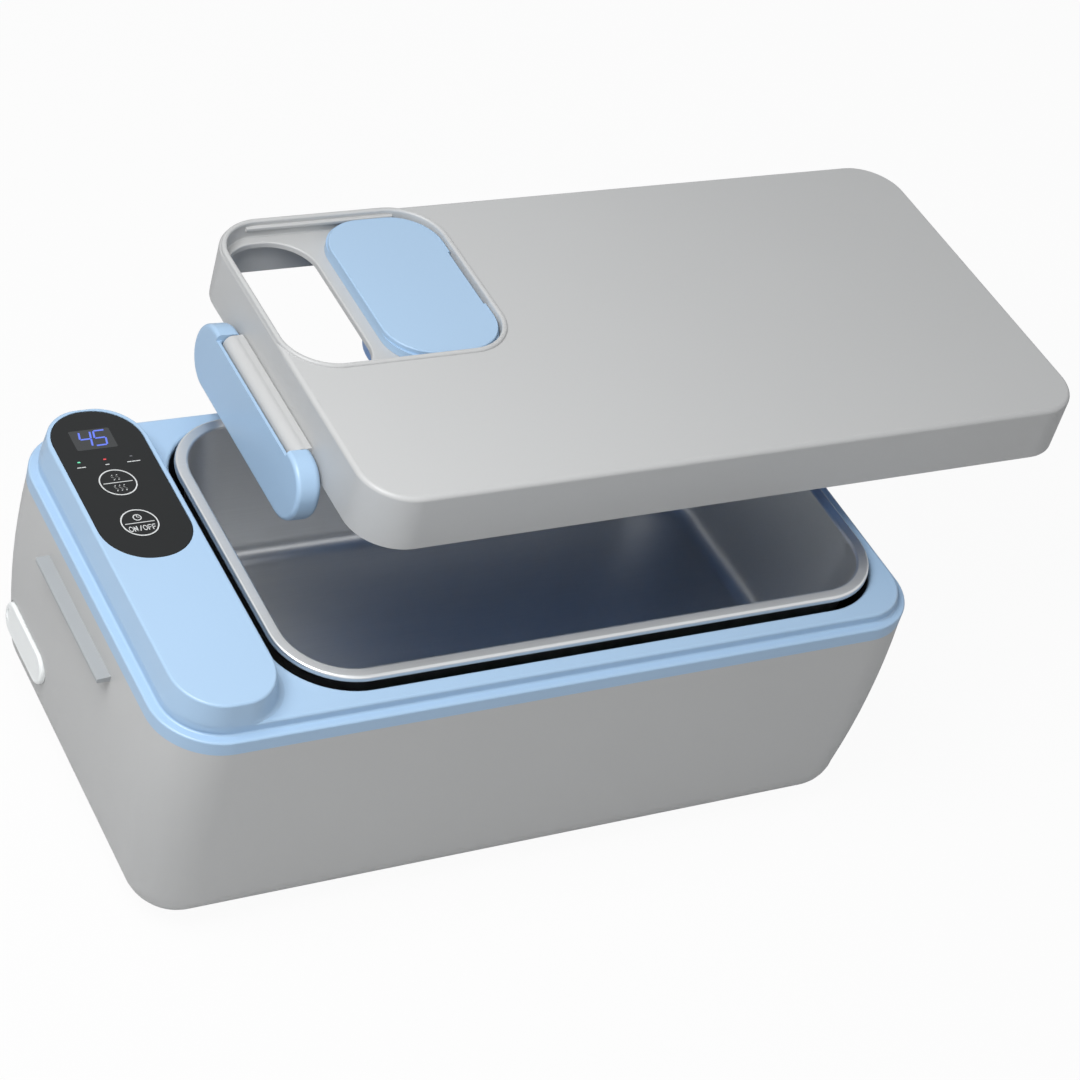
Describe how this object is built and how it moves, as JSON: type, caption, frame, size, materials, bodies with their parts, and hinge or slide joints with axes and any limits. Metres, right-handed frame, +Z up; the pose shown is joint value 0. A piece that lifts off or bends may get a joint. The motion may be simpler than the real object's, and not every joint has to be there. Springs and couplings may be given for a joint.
{
  "type": "electric lunch box",
  "caption": "Heated food box: tapered housing with a blue top frame and control pod, lift-out steel tray, and a lifted-off lid with a sliding window and end latches.",
  "frame": {"origin": "on the floor under the middle of the lower housing", "axes": "+X along the length, away from the control pod; +Y to the back, towards the end of the pod that has the display; +Z up"},
  "size_m": [0.3602, 0.1828, 0.1361],
  "materials": {
    "grey_plastic": "fine-grained satin moulding",
    "blue_plastic": "satin pale blue moulding",
    "deep_blue_plastic": "satin blue moulding",
    "black_glass": "gloss, back-printed dark grey",
    "circuit_board": "green solder mask",
    "black_plastic": "matte",
    "led": "clear lens",
    "bright_steel": "zinc plated",
    "tray_steel": "satin stainless",
    "dark_aluminium": "dark non-stick coat",
    "aluminium": "mill finish",
    "ceramic": "sintered",
    "brass": "plain",
    "rubber": "matte",
    "white_rubber": "matte silicone",
    "cell_wrap": "shrink wrap",
    "fibre": "felted fibre",
    "lead_plastic": "insulation"
  },
  "bodies": {
    "housing": {"lower_housing": "grey_plastic", "top_frame": "blue_plastic", "frame_screws": "bright_steel", "rubber_feet": "rubber", "touch_glass": "black_glass", "touch_board": "circuit_board", "display_module": "black_plastic", "indicator_leds": "led", "touch_pads": "rubber", "control_board": "circuit_board", "control_parts": "black_plastic", "board_screws": "bright_steel", "display_ribbon": "lead_plastic", "heating_well": "dark_aluminium", "well_screws": "bright_steel", "heater_plate": "aluminium", "ptc_heaters": "ceramic", "heater_clamps": "bright_steel", "thermal_fuse": "brass", "temperature_sensor": "black_plastic", "insulation_pad": "fibre", "heat_shield": "aluminium", "battery_cells": "cell_wrap", "cell_straps": "bright_steel", "cell_holder": "black_plastic", "battery_board": "circuit_board", "battery_leads": "lead_plastic", "heater_leads": "lead_plastic", "dc_socket": "black_plastic", "socket_nut": "bright_steel", "socket_leads": "lead_plastic"},
    "cover": {"port_cover": "white_rubber"},
    "tray": {"food_tray": "tray_steel"},
    "swing": {"detent_ball": "bright_steel"},
    "lid": {"lid_shell": "grey_plastic", "lid_liner": "deep_blue_plastic", "lid_seal": "white_rubber", "liner_screws": "bright_steel", "latch_pins": "bright_steel", "detent_spring": "bright_steel"},
    "shutter": {"window_shutter": "blue_plastic"},
    "latch_l": {"latch_left": "blue_plastic"},
    "latch_r": {"latch_right": "blue_plastic"}
  },
  "joints": [
    {"name": "tray_lift", "type": "slide", "parent": "housing", "child": "tray", "axis": [0, 0, 1], "range_m": [0, 0.06]},
    {"name": "lid_swing", "type": "hinge", "parent": "tray", "child": "swing", "pos_m": [-0.05491, 0.05225, 0.1086], "axis": [0.4716, -0.8818, 0], "range_deg": [0, 164.25]},
    {"name": "lid_level", "type": "hinge", "parent": "swing", "child": "lid", "pos_m": [-0.0193, 0.0713, 0.1283], "axis": [0.4716, -0.8818, 0], "range_deg": [-164.25, 0]},
    {"name": "shutter_slide", "type": "slide", "parent": "lid", "child": "shutter", "axis": [1, 0, 0], "range_m": [-0.036, 0]},
    {"name": "latch_left_turn", "type": "hinge", "parent": "lid", "child": "latch_l", "pos_m": [-0.0647, 0.0408, 0.1183], "axis": [0, 1, 0], "range_deg": [-6, 90]},
    {"name": "latch_right_turn", "type": "hinge", "parent": "lid", "child": "latch_r", "pos_m": [0.2139, 0.0408, 0.1183], "axis": [0, -1, 0], "range_deg": [-6, 90]},
    {"name": "cover_pull", "type": "slide", "parent": "housing", "child": "cover", "axis": [-1, 0, 0], "range_m": [0, 0.012]}
  ],
  "couplings": [
    {"joint": "lid_swing", "follows": "lid_level", "ratio": -1}
  ]
}
